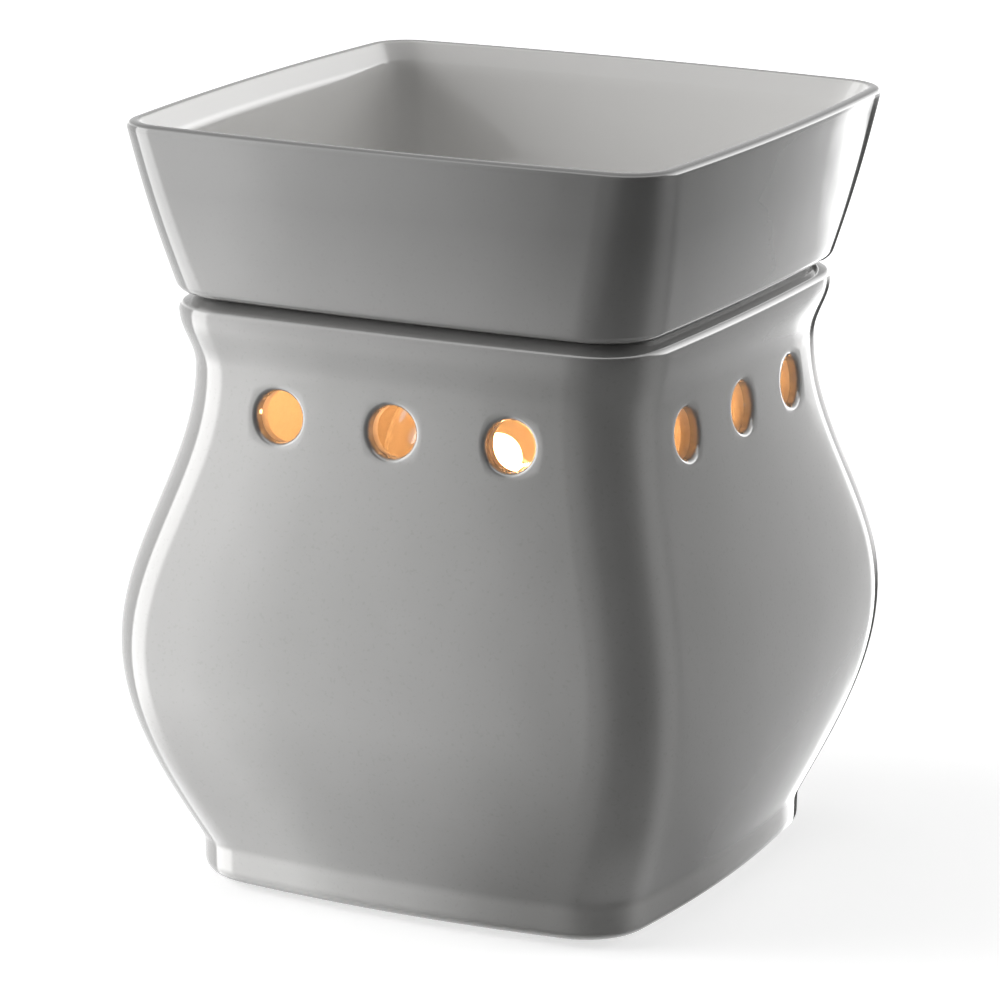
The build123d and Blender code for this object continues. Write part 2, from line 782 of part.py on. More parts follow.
os.makedirs("parts", exist_ok=True)
write("body_shell", body_shell())
write("wax_dish", wax_dish())
write("base_plate", base_plate())
for place, signs in fixing_signs.items():
    write(f"foot_{place}", foot(*signs))
write("base_screws", base_screws())
write("floor_nuts", floor_nuts())
write("cord_grommet", cord_grommet())
write("threaded_stem", threaded_stem())
write("stem_nut_lower", stem_nut(pan_under_z - stem_nut_height))
write("stem_nut_upper", stem_nut(upper_nut_z))
write("lock_washer", lock_washer())
write("holder_bracket", holder_bracket())
write("bracket_rivets", bracket_rivets())
write("lamp_holder", lamp_holder())
write("screw_shell", screw_shell())
write("centre_contact", centre_contact())
for place, sign in {"left": -1, "right": 1}.items():
    write(f"lead_{place}", routed_tube(lead_route(sign), lead_radius, f"lead {place}"))
    write(f"crimp_cap_{place}", crimp_cap(sign))
    write(f"bulb_wire_{place}", bulb_wire(sign))
write("bulb_glass", bulb_glass())
write("bulb_cap", bulb_cap())
write("bulb_insulator", bulb_insulator())
write("bulb_contact", bulb_contact())
write("bulb_stem", bulb_stem())
write("filament_supports", filament_supports())
write("filament", filament())
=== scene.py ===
import bpy
from math import atan2, cos, hypot, pi, radians, sin, sqrt
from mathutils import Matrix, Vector


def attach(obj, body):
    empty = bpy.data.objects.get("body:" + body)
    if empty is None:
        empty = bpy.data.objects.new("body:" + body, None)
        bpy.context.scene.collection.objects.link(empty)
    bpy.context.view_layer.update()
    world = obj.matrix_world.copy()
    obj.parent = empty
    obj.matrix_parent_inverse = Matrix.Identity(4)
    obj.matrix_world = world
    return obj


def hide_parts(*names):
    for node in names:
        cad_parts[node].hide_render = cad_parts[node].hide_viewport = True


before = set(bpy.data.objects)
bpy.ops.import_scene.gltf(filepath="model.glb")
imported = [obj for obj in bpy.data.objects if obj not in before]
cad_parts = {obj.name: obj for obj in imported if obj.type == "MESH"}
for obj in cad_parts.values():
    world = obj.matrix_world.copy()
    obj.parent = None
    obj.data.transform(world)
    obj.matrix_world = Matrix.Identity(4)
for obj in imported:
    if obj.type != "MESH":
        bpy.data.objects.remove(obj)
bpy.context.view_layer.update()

# Camera, at the photograph's viewing angle: a long lens, a little above the rim and 26 degrees round
# to the right, so that the front shows wide on the left and the right side shows narrow.
VIEW_AZIMUTH, VIEW_ELEVATION = 26.2, 14.55
MIDDLE = (0, 0, 0.0762)


def seen_from(azimuth, elevation, distance, target=MIDDLE):
    """A point at a distance from the target; azimuth 0 is straight in front, 90 the right side."""
    a, e = radians(azimuth), radians(elevation)
    return Vector(target) + distance * Vector((sin(a) * cos(e), -cos(a) * cos(e), sin(e)))


def look_at(thing):
    """Turns a camera or lamp to face the warmer's middle."""
    thing.rotation_euler = (Vector(MIDDLE) - thing.location).to_track_quat("-Z", "Y").to_euler()


camera = bpy.data.objects.new("camera", bpy.data.cameras.new("camera"))
bpy.context.collection.objects.link(camera)
camera.location = seen_from(VIEW_AZIMUTH, VIEW_ELEVATION, 0.985)
look_at(camera)
camera.rotation_euler.rotate_axis("Z", radians(0.5))
camera.data.lens = 179.9
camera.data.shift_x = -0.0085
camera.data.shift_y = -0.0170
camera.data.clip_start = 0.05
bpy.context.scene.camera = camera
bpy.context.scene.view_settings.view_transform = "Standard"


# Studio: a white paper floor under three softboxes, left, right and above, which give the light. The glaze
# mirrors the world instead: a room with a bright left, a dark front, a lit right edge and a black flag.
def linear(code):
    """The linear colour of an sRGB hex value such as "8a8784"."""
    channels = [int(code[i:i + 2], 16) / 255 for i in (0, 2, 4)]
    return tuple(c / 12.92 if c <= 0.04045 else ((c + 0.055) / 1.055) ** 2.4 for c in channels) + (1.0,)


def add(tree, kind, values=None, links=None, **settings):
    """Adds one node with its settings, the values of its sockets and the outputs that feed them."""
    node = tree.nodes.new(kind)
    for name, value in settings.items():
        setattr(node, name, value)
    for socket, value in (values or {}).items():
        node.inputs[socket].default_value = value
    for socket, output in (links or {}).items():
        tree.links.new(output, node.inputs[socket])
    return node


def new_material(name):
    """An empty node material."""
    material = bpy.data.materials.new(name)
    material.use_nodes = True
    material.node_tree.nodes.clear()
    return material, material.node_tree


def softbox(name, azimuth, elevation, distance, width, height, radiance):
    """A rectangular lamp of even radiance, facing the warmer."""
    data = bpy.data.lights.new(name, "AREA")
    data.shape = "RECTANGLE"
    data.size, data.size_y = width, height
    data.energy = radiance * width * height * pi
    lamp = bpy.data.objects.new(name, data)
    bpy.context.collection.objects.link(lamp)
    lamp.location = seen_from(azimuth, elevation, distance)
    look_at(lamp)
    lamp.visible_camera = lamp.visible_glossy = False


softbox("softbox left", azimuth=-62, elevation=12, distance=1.1, width=0.75, height=1.1, radiance=5.0)
softbox("softbox right", azimuth=128, elevation=12, distance=1.1, width=0.9, height=0.9, radiance=3.0)
softbox("softbox above", azimuth=0, elevation=88, distance=1.1, width=0.8, height=0.8, radiance=1.5)

world = bpy.data.worlds.new("studio")
bpy.context.scene.world = world
world.use_nodes = True
tree = world.node_tree
tree.nodes.clear()
path = add(tree, "ShaderNodeLightPath")
direction = add(tree, "ShaderNodeTexCoord")
# A wall that faces a given way mirrors one direction of the room to the photograph's viewpoint, so the room
# is laid out by that facing, which lies halfway between the direction and the viewpoint.
half_way = add(tree, "ShaderNodeVectorMath", operation="ADD",
               values={1: tuple(seen_from(VIEW_AZIMUTH, VIEW_ELEVATION, 1, (0, 0, 0)))},
               links={0: direction.outputs["Generated"]})
facing = add(tree, "ShaderNodeVectorMath", operation="NORMALIZE", links={0: half_way.outputs["Vector"]})
forward = add(tree, "ShaderNodeVectorMath", operation="DOT_PRODUCT",
              values={1: tuple(seen_from(VIEW_AZIMUTH, 0, 1, (0, 0, 0)))},
              links={0: facing.outputs["Vector"]})
sideways = add(tree, "ShaderNodeVectorMath", operation="DOT_PRODUCT",
               values={1: tuple(seen_from(VIEW_AZIMUTH + 90, 0, 1, (0, 0, 0)))},
               links={0: facing.outputs["Vector"]})
rise = add(tree, "ShaderNodeSeparateXYZ", links={0: facing.outputs["Vector"]})
bearing = add(tree, "ShaderNodeMath", operation="ARCTAN2",
              links={0: sideways.outputs["Value"], 1: forward.outputs["Value"]})
turn_share = add(tree, "ShaderNodeMapRange", values={"From Min": -pi / 2, "From Max": pi / 2},
                 links={"Value": bearing.outputs[0]})
# Degrees round, and the radiance there: a white end, the left box and its fading edge, the dark front, a
# soft right side that brightens to a narrow strip of light, and a black flag.
FLAG_EDGE = (71.2, 71.6)
ROOM = ((-90, 1.0), (-56, 1.0), (-53, 2.2), (-31, 2.2), (-29, 1.5), (-27, 1.2), (-25, 0.93), (-23, 0.48),
        (-21, 0.2), (-12, 0.12), (-5, 0.06), (5, 0.06), (20, 0.03), (29, 0.06), (41, 0.3), (50, 0.3),
        (60, 0.17), (62, 0.28), (64, 0.42), (66, 0.55), (68, 0.75), (69.3, 1.0), (70, 3.2),
        (FLAG_EDGE[0], 3.4), (FLAG_EDGE[1], 0.03), (90, 0.03))
brightest = max(radiance for _, radiance in ROOM)
round_room = add(tree, "ShaderNodeValToRGB", links={0: turn_share.outputs[0]})
stops = round_room.color_ramp.elements
stops.remove(stops[1])
for angle, radiance in ROOM:
    stop = stops[0] if angle == ROOM[0][0] else stops.new((angle + 90) / 180)
    stop.color = (radiance / brightest,) * 3 + (1,)
# The black flag is a low one, and above it the white backdrop shows.
beyond_flag = add(tree, "ShaderNodeMapRange", links={"Value": bearing.outputs[0]},
                  values={"From Min": radians(FLAG_EDGE[0]), "From Max": radians(FLAG_EDGE[1])})
over_flag = add(tree, "ShaderNodeMapRange", interpolation_type="SMOOTHSTEP",
                values={"From Min": -0.05, "From Max": 0.2}, links={"Value": rise.outputs["Z"]})
behind = add(tree, "ShaderNodeMath", operation="MULTIPLY",
             links={0: beyond_flag.outputs[0], 1: over_flag.outputs[0]})
# Low down, the front fades to two thirds towards the table's edge; the two ends keep their full light.
round_off = add(tree, "ShaderNodeMath", operation="ABSOLUTE", links={0: bearing.outputs[0]})
low_sides = add(tree, "ShaderNodeMapRange", links={"Value": round_off.outputs[0]},
                values={"From Min": 0.6, "From Max": 1.0, "To Min": 0.68 * brightest, "To Max": brightest})
fading = add(tree, "ShaderNodeMapRange",
             values={"From Min": -0.15, "From Max": -0.42, "To Min": brightest},
             links={"Value": rise.outputs["Z"], "To Max": low_sides.outputs[0]})
walls = add(tree, "ShaderNodeMath", operation="MULTIPLY",
            links={0: round_room.outputs[0], 1: fading.outputs[0]})
# A tall strip stands at the left box's outer edge, and ends above the table.
strip_start = add(tree, "ShaderNodeMapRange", values={"From Min": radians(-55), "From Max": radians(-53)},
                  links={"Value": bearing.outputs[0]})
strip_end = add(tree, "ShaderNodeMapRange", values={"From Min": radians(-36), "From Max": radians(-39)},
                links={"Value": bearing.outputs[0]})
strip_foot = add(tree, "ShaderNodeMapRange", interpolation_type="SMOOTHSTEP",
                 values={"From Min": -0.42, "From Max": -0.1, "To Max": 1.3},
                 links={"Value": rise.outputs["Z"]})
strip_width = add(tree, "ShaderNodeMath", operation="MULTIPLY",
                  links={0: strip_start.outputs[0], 1: strip_end.outputs[0]})
strip = add(tree, "ShaderNodeMath", operation="MULTIPLY",
            links={0: strip_width.outputs[0], 1: strip_foot.outputs[0]})
table_share = add(tree, "ShaderNodeMapRange", interpolation_type="SMOOTHSTEP",
                  values={"From Min": -0.45, "From Max": -0.8}, links={"Value": rise.outputs["Z"]})
sides = add(tree, "ShaderNodeMath", operation="ADD", links={0: walls.outputs[0], 1: behind.outputs[0]})
sides = add(tree, "ShaderNodeMath", operation="ADD", links={0: sides.outputs[0], 1: strip.outputs[0]})
lower_room = add(tree, "ShaderNodeMix", links={"Factor": table_share.outputs[0], 2: sides.outputs[0]},
                 values={3: 0.7})
# The box above hangs over the right side, so it starts lower there than over the front.
above_start = add(tree, "ShaderNodeMapRange", links={"Value": bearing.outputs[0]},
                  values={"From Min": 0.7, "From Max": 1.05, "To Min": 0.55, "To Max": 0.3})
above_end = add(tree, "ShaderNodeMath", operation="ADD", values={1: 0.14}, links={0: above_start.outputs[0]})
above_share = add(tree, "ShaderNodeMapRange", interpolation_type="SMOOTHSTEP",
                  links={"Value": rise.outputs["Z"], "From Min": above_start.outputs[0],
                         "From Max": above_end.outputs[0]})
# The box above is brightest along its lower edge, and a scrim dims it towards the middle.
scrim = add(tree, "ShaderNodeMapRange",
            values={"From Min": 0.42, "From Max": 0.8, "To Min": 3.4, "To Max": 0.7},
            links={"Value": rise.outputs["Z"]})
room = add(tree, "ShaderNodeMix",
           links={"Factor": above_share.outputs[0], 2: lower_room.outputs[0], 3: scrim.outputs[0]})
mirrored = add(tree, "ShaderNodeMix", links={"Factor": path.outputs["Is Glossy Ray"], 3: room.outputs[0]},
               values={2: 0.05})
seen_white = add(tree, "ShaderNodeMath", operation="MAXIMUM",
                 links={0: path.outputs["Is Camera Ray"], 1: path.outputs["Is Transmission Ray"]})
level = add(tree, "ShaderNodeMix", links={"Factor": seen_white.outputs[0], 2: mirrored.outputs[0]},
            values={3: 1.0})
backdrop = add(tree, "ShaderNodeBackground", values={"Color": linear("ffffff")},
               links={"Strength": level.outputs[0]})
add(tree, "ShaderNodeOutputWorld", links={"Surface": backdrop.outputs[0]})

# Matt white paper: it diffuses all the light, with a slight tooth, and burns out to white in the view
# except where the warmer shades it.
paper, tree = new_material("matt white paper")
place = add(tree, "ShaderNodeTexCoord")
tooth = add(tree, "ShaderNodeTexNoise", values={"Scale": 1000 / 1.5, "Detail": 2},
            links={"Vector": place.outputs["Object"]})
grain = add(tree, "ShaderNodeBump", values={"Strength": 0.1, "Distance": 0.00005},
            links={"Height": tooth.outputs[0]})
sheet = add(tree, "ShaderNodeBsdfPrincipled",
            values={"Base Color": linear("f2f2f2"), "Roughness": 0.9, "Specular IOR Level": 0.2},
            links={"Normal": grain.outputs[0]})
path = add(tree, "ShaderNodeLightPath")
away = add(tree, "ShaderNodeVectorMath", operation="LENGTH", links={0: place.outputs["Object"]})
burnt = add(tree, "ShaderNodeMapRange", interpolation_type="SMOOTHSTEP",
            links={"Value": away.outputs["Value"]},
            values={"From Min": 0.2, "From Max": 0.7, "To Min": 0.58, "To Max": 1.0})
lift = add(tree, "ShaderNodeMath", operation="MULTIPLY",
           links={0: path.outputs["Is Camera Ray"], 1: burnt.outputs[0]})
glow = add(tree, "ShaderNodeEmission", values={"Color": linear("ffffff")},
           links={"Strength": lift.outputs[0]})
both = add(tree, "ShaderNodeAddShader", links={0: sheet.outputs[0], 1: glow.outputs[0]})
add(tree, "ShaderNodeOutputMaterial", links={"Surface": both.outputs[0]})

floor_mesh = bpy.data.meshes.new("floor")
floor_mesh.from_pydata([(-4, -4, 0), (4, -4, 0), (4, 4, 0), (-4, 4, 0)], [], [(0, 1, 2, 3)])
floor_mesh.materials.append(paper)
floor = bpy.data.objects.new("floor", floor_mesh)
bpy.context.collection.objects.link(floor)
floor.visible_glossy = False


# Body shell: a slip-cast stoneware body, square with bowed sides, a belly and a waist, under a glossy
# metallic grey glaze. It is glazed outside only; inside the fired clay is bare.
MM = 0.001
SIDE_BREAKS = ((-1, 1), (-0.945, 12), (-0.457, 5), (-0.244, 12), (0.244, 5), (0.457, 12), (0.945, 1), (1, 0))
CORNER_CELLS = 12
COLUMNS = 240
SHELL_Z, CREASE_Z, BELLY_Z, NECK_Z, COLLAR_Z, DECK_Z, HOLE_Z = 1.2, 8.7, 50.0, 104.0, 115.0, 118.175, 97.475
FOOT, BELLY, NECK, COLLAR = (99.4, 3.4, 14.0), (121.1, 2.2, 12.4), (99.4, 2.2, 13.0), (104.0, 1.8, 14.0)
FOOT_EDGE, FOOT_WALL, COLLAR_EDGE, SHOULDER, BODY_WALL = 3.3, 6.5, 2.0, 3.5, 4.5
DECK_THICKNESS, FLOOR_UNDER_Z, FLOOR_TOP_Z, FLOOR_OPENING = 5.0, 6.5, 11.5, 34.0
OPENING = (72.0, 1.2, 10.0)
HOLE_RADIUS, HOLE_SPACING, HOLE_EDGE, HOLE_LEAN = 5.0, 24.4, 0.9, 0.1155
CORD_HOLE_Z, CORD_HOLE_RADIUS, CORD_HOLE_EDGE, CORD_HOLE_LEAN = 18.2, 4.75, 0.3, -0.3684
HOLE_LOW, HOLE_HIGH, WINDOW = 89.0, 106.0, 12


def between(start, end, share):
    """The value a share of the way from start to end."""
    return start + (end - start) * share


def steps(start, end, count):
    """Evenly spaced values from start to end, both included."""
    return [between(start, end, i / count) for i in range(count + 1)]


def side_radius(width, bow):
    """The radius of a side that bulges by bow."""
    return ((width / 2 - bow) ** 2 + bow**2) / (2 * bow)


def bowed_square(sizes, z, inset=0):
    """The 240 points of a level outline in millimetres: four bowed sides joined by round corners."""
    width, bow, corner = sizes
    width, corner = width - 2 * inset, corner - inset
    radius = side_radius(width, bow)
    drop, reach = radius - width / 2, radius - corner
    corner_centre = (sqrt(2 * reach**2 - drop**2) - drop) / 2
    tilt = atan2(corner_centre, corner_centre + drop)
    quarter = []
    for (low, cells), (high, _) in zip(SIDE_BREAKS, SIDE_BREAKS[1:]):
        for s in steps(low, high, cells)[:-1]:
            quarter.append((radius * sin(s * tilt), drop - radius * cos(s * tilt)))
    for turn in steps(tilt, pi / 2 - tilt, CORNER_CELLS)[:-1]:
        quarter.append((corner_centre + corner * sin(turn), -corner_centre - corner * cos(turn)))
    points = []
    for _ in range(4):
        points += [(x, y, z) for x, y in quarter]
        quarter = [(-y, x) for x, y in quarter]
    return points


def body_sizes(z):
    """Width, bow and corner radius at a height; the crease above the foot is softened by the glaze."""
    if z <= BELLY_Z:
        rise = ((z - CREASE_Z) + hypot(z - CREASE_Z, 0.7)) / 2
        share = sin(pi / 2 * min(1, rise / (BELLY_Z - CREASE_Z)))
        low, high = FOOT, BELLY
    elif z <= NECK_Z:
        share = (1 - cos(pi * (z - BELLY_Z) / (NECK_Z - BELLY_Z))) / 2
        low, high = BELLY, NECK
    else:
        share = (1 - cos(pi * min(1, (z - NECK_Z) / (COLLAR_Z - NECK_Z)))) / 2
        low, high = NECK, COLLAR
    return [between(a, b, share) for a, b in zip(low, high)]


def wall_y(x, z, inset):
    """How far back the front wall lies at a point, outside or inset from it."""
    width, bow, _ = body_sizes(z)
    radius = side_radius(width - 2 * inset, bow)
    return radius - (width / 2 - inset) - sqrt(radius**2 - x**2)


def wall_loop(z, inset=0):
    """One level ring of points round the body."""
    return bowed_square(body_sizes(z), z, inset)


def round_loop(radius, z):
    """A circle whose points face those of the inner wall."""
    ring = wall_loop(FLOOR_TOP_Z, BODY_WALL)
    return [(radius * x / hypot(x, y), radius * y / hypot(x, y), z) for x, y, _ in ring]


def quad_strip(faces, ring, following):
    """Joins two closed rings of vertex numbers by quads."""
    for i in range(len(ring)):
        j = (i + 1) % len(ring)
        faces.append((ring[i], ring[j], following[j], following[i]))


def make_piece(name, points, faces, materials, body, replaces):
    """A smooth-shaded mesh piece from millimetres, which rides on a body and stands for CAD nodes."""
    mesh = bpy.data.meshes.new(name)
    mesh.from_pydata([(x * MM, y * MM, z * MM) for x, y, z in points], [], faces)
    for material in materials:
        mesh.materials.append(material)
    mesh.polygons.foreach_set("use_smooth", [True] * len(mesh.polygons))
    mesh.update()
    piece = bpy.data.objects.new(name, mesh)
    bpy.context.collection.objects.link(piece)
    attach(piece, body)
    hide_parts(*replaces)
    return piece


# Stoneware glaze: a thick fired glass with metal oxides in it. It gives a clean grey with a metallic
# flash below a clear, mirror-smooth skin that is never quite flat, and its colour carries painted shade and
# light.
glaze, tree = new_material("metallic grey stoneware glaze")
place = add(tree, "ShaderNodeTexCoord")
cloud = add(tree, "ShaderNodeTexNoise", values={"Scale": 1000 / 28, "Detail": 3, "Roughness": 0.55},
            links={"Vector": place.outputs["Object"]})
tone = add(tree, "ShaderNodeMix", data_type="RGBA", values={6: linear("a8a8a6"), 7: linear("b0afae")},
           links={0: cloud.outputs[0]})
fleck = add(tree, "ShaderNodeTexNoise", values={"Scale": 1000 / 0.7, "Detail": 1},
            links={"Vector": place.outputs["Object"]})
fleck_share = add(tree, "ShaderNodeMapRange",
                  values={"From Min": 0.62, "From Max": 0.72, "To Min": 0.0, "To Max": 0.1},
                  links={"Value": fleck.outputs[0]})
flecked = add(tree, "ShaderNodeMix", data_type="RGBA", values={7: linear("6f6b67")},
              links={0: fleck_share.outputs[0], 6: tone.outputs[2]})
skin = add(tree, "ShaderNodeMapRange",
           values={"From Min": 0.3, "From Max": 0.7, "To Min": 0.05, "To Max": 0.08},
           links={"Value": cloud.outputs[0]})
wave = add(tree, "ShaderNodeTexNoise", values={"Scale": 1000 / 14, "Detail": 1},
           links={"Vector": place.outputs["Object"]})
slow = add(tree, "ShaderNodeBump", values={"Strength": 0.6, "Distance": 0.00006},
           links={"Height": wave.outputs[0]})
height = add(tree, "ShaderNodeSeparateXYZ", links={0: place.outputs["Object"]})
# Painted shade: from 100 mm up the glaze is painted a darker grey, over the collar and most of all over the
# dish.
painted_top_shade = add(tree, "ShaderNodeMapRange",
           values={"From Min": 0.1, "From Max": 0.14, "To Min": 0.0, "To Max": 0.75},
           links={"Value": height.outputs["Z"]})
top_shaded_colour = add(tree, "ShaderNodeMix", data_type="RGBA", values={7: linear("757574")},
               links={0: painted_top_shade.outputs[0], 6: flecked.outputs[2]})
# Painted light: the dish's well is painted paler and less metallic, where light falls into it from above.
painted_well_light = add(tree, "ShaderNodeAttribute", attribute_name="painted_well_light")
# The foot band is painted paler: partly glaze pooled in the crease above it, partly a painted highlight.
foot_pool_and_highlight = add(tree, "ShaderNodeMapRange", links={"Value": height.outputs["Z"]},
                values={"From Min": 0.0095, "From Max": 0.0075, "To Min": 0.0, "To Max": 0.15})
pool_and_light_share = add(tree, "ShaderNodeMath", operation="MAXIMUM",
            links={0: painted_well_light.outputs["Fac"], 1: foot_pool_and_highlight.outputs[0]})
# This mix paints in the paler colour: painted light in the well, and at the foot pooled glaze with a painted
# highlight.
depth = add(tree, "ShaderNodeMix", data_type="RGBA", values={7: linear("e4e3e1")},
            links={0: pool_and_light_share.outputs[0], 6: top_shaded_colour.outputs[2]})
oxide = add(tree, "ShaderNodeMapRange", values={"To Min": 0.3, "To Max": 0.0},
            links={"Value": pool_and_light_share.outputs[0]})
glazed = add(tree, "ShaderNodeBsdfPrincipled",
             values={"Coat Weight": 1.0, "Coat Roughness": 0.03, "Coat IOR": 1.5},
             links={"Base Color": depth.outputs[2], "Metallic": oxide.outputs[0],
                    "Roughness": skin.outputs[0], "Normal": slow.outputs[0], "Coat Normal": slow.outputs[0]})
add(tree, "ShaderNodeOutputMaterial", links={"Surface": glazed.outputs[0]})

# Bisque: fired stoneware clay without glaze. It is dry, pale and dead matt, with a fine sandy grain.
bisque, tree = new_material("bare fired stoneware")
place = add(tree, "ShaderNodeTexCoord")
sand = add(tree, "ShaderNodeTexNoise", values={"Scale": 1000 / 0.8, "Detail": 4, "Roughness": 0.7},
           links={"Vector": place.outputs["Object"]})
clay = add(tree, "ShaderNodeMix", data_type="RGBA", values={6: linear("c9c0b2"), 7: linear("dcd5c9")},
           links={0: sand.outputs[0]})
grit = add(tree, "ShaderNodeBump", values={"Strength": 0.5, "Distance": 0.0001},
           links={"Height": sand.outputs[0]})
bare = add(tree, "ShaderNodeBsdfPrincipled", values={"Roughness": 0.85, "Specular IOR Level": 0.25},
           links={"Base Color": clay.outputs[2], "Normal": grit.outputs[0]})
add(tree, "ShaderNodeOutputMaterial", links={"Surface": bare.outputs[0]})

# The outline's rings, from the foot's land up the outside, over the deck and down the inside.
rings = [wall_loop(SHELL_Z, FOOT_WALL - 0.4), wall_loop(SHELL_Z, FOOT_EDGE + 0.6)]
rings += [[(x, y, SHELL_Z + FOOT_EDGE * (1 - cos(a)))
           for x, y, _ in wall_loop(SHELL_Z, FOOT_EDGE * (1 - sin(a)))] for a in steps(0, pi / 2, 6)]
rings += [wall_loop(z) for z in (5.6, 6.6, 7.4, 8.0, 8.4, 8.8, 9.3, 10.0)]
cord_row = len(rings)
rings += [wall_loop(z) for z in steps(11.0, 25.4, WINDOW)]
rings += [wall_loop(z) for z in steps(25.4, HOLE_LOW, 26)[1:-1]]
hole_row = len(rings)
rings += [wall_loop(z) for z in steps(HOLE_LOW, HOLE_HIGH, WINDOW)]
rings += [wall_loop(z) for z in steps(HOLE_HIGH, COLLAR_Z, 8)[1:-1]]
rings += [wall_loop(COLLAR_Z + COLLAR_EDGE * sin(a), COLLAR_EDGE * (1 - cos(a))) for a in steps(0, pi / 3, 6)]
rings += [wall_loop(DECK_Z - 0.3, SHOULDER - 0.5), wall_loop(DECK_Z - 0.08, SHOULDER - 0.05),
          wall_loop(DECK_Z, SHOULDER + 0.6)]
rings += [bowed_square(OPENING, DECK_Z, -0.7), bowed_square(OPENING, DECK_Z - 0.1, -0.3),
          bowed_square(OPENING, DECK_Z - 0.4, -0.05), bowed_square(OPENING, DECK_Z - 1.0)]
glazed_rings = len(rings)
deck_under = DECK_Z - DECK_THICKNESS
rings += [bowed_square(OPENING, deck_under + 0.5), bowed_square(OPENING, deck_under, -0.5)]
rings += [wall_loop(z, BODY_WALL) for z in steps(deck_under, HOLE_HIGH, 3)[:-1]]
inner_hole_row = len(rings)
rings += [wall_loop(z, BODY_WALL) for z in steps(HOLE_HIGH, HOLE_LOW, WINDOW)]
rings += [wall_loop(z, BODY_WALL) for z in steps(HOLE_LOW, 27.1, 20)[1:-1]]
inner_cord_row = len(rings)
rings += [wall_loop(z, BODY_WALL) for z in steps(27.1, 12.7, WINDOW)]
rings += [wall_loop(FLOOR_TOP_Z, BODY_WALL)]
rings += [[tuple(between(a, b, share) for a, b in zip(p, q))
           for p, q in zip(wall_loop(FLOOR_TOP_Z, BODY_WALL), round_loop(FLOOR_OPENING, FLOOR_TOP_Z))]
          for share in (0.35, 0.7, 0.97)]
rings += [round_loop(FLOOR_OPENING, FLOOR_TOP_Z - 0.4), round_loop(FLOOR_OPENING, FLOOR_UNDER_Z + 0.4),
          round_loop(FLOOR_OPENING + 0.4, FLOOR_UNDER_Z)]
rings += [[(x, y, FLOOR_UNDER_Z) for x, y, _ in wall_loop(SHELL_Z, FOOT_WALL + 0.4)],
          [(x, y, FLOOR_UNDER_Z - 0.4) for x, y, _ in wall_loop(SHELL_Z, FOOT_WALL)],
          [(x, y, SHELL_Z + 0.4) for x, y, _ in wall_loop(SHELL_Z, FOOT_WALL)]]

points = [point for ring in rings for point in ring]
faces, bare_faces = [], []


def pierce(quarter, start, outer_row, inner_row, centre, radius, edge, lean):
    """Opens a round hole in one side through a square window of cells, with a rounded mouth."""
    first = quarter * (COLUMNS // 4) + start
    last, along = first + WINDOW, range(WINDOW)
    outer_end, inner_end = outer_row + WINDOW, inner_row + WINDOW
    outer = [(outer_row, first + k) for k in along] + [(outer_row + k, last) for k in along]
    outer += [(outer_end, last - k) for k in along] + [(outer_end - k, first) for k in along]
    inner = [(inner_end, first + k) for k in along] + [(inner_end - k, last) for k in along]
    inner += [(inner_row, last - k) for k in along] + [(inner_row + k, first) for k in along]
    outer = [row * COLUMNS + column % COLUMNS for row, column in outer]
    inner = [row * COLUMNS + column % COLUMNS for row, column in inner]
    spin = quarter * pi / 2
    turn, back = (cos(spin), sin(spin)), (cos(-spin), sin(-spin))

    def local(index):
        x, y, z = points[index]
        return x * back[0] - y * back[1], z

    def ring_of(flat, inset, depth):
        numbers = []
        for x, z in flat:
            y = wall_y(x, z, inset) + depth * sqrt(max(0, 1 - side[0]**2 - side[1]**2))
            x, z = x - depth * side[0], z - depth * side[1]
            numbers.append(len(points))
            points.append((x * turn[0] - y * turn[1], x * turn[1] + y * turn[0], z))
        return numbers

    def circle(size, shift=(0, 0)):
        return [(centre[0] + shift[0] + size * cos(a), centre[1] + shift[1] + size * squash * sin(a))
                for a in angles]

    def midway(ring, following, share):
        return [(between(a, c, share), between(b, d, share)) for (a, b), (c, d) in zip(ring, following)]

    width, bow, _ = body_sizes(centre[1])
    side = (centre[0] / side_radius(width, bow) * cos(lean), sin(lean))
    squash = cos(lean)
    rim = [local(index) for index in outer]
    angles = [atan2(z - centre[1], x - centre[0]) for x, z in rim]
    loops = [outer]
    wide = circle(radius + edge)
    for share in (0.4, 0.75):
        loops.append(ring_of(midway(rim, wide, share), 0, 0))
    for a in steps(pi / 2, 0, 5):
        loops.append(ring_of(circle(radius + edge * (1 - cos(a))), 0, edge * (1 - sin(a))))
    bore = len(loops)
    loops.append(ring_of(circle(radius), 0, BODY_WALL / 2))
    shift = (-BODY_WALL * side[0], -BODY_WALL * side[1])
    back_rim = [local(index) for index in inner]
    behind = circle(radius + 0.4, shift)
    loops.append(ring_of(circle(radius, shift), BODY_WALL - 0.35, 0))
    loops.append(ring_of(behind, BODY_WALL, 0))
    loops.append(ring_of(midway(behind, back_rim, 0.5), BODY_WALL, 0))
    loops.append(inner)
    for number, (ring, following) in enumerate(zip(loops, loops[1:])):
        quad_strip(faces if number < bore else bare_faces, ring, following)
    gaps.update((outer_row + i, (first + j) % COLUMNS) for i in along for j in along)
    gaps.update((inner_row + i, (first + j) % COLUMNS) for i in along for j in along)


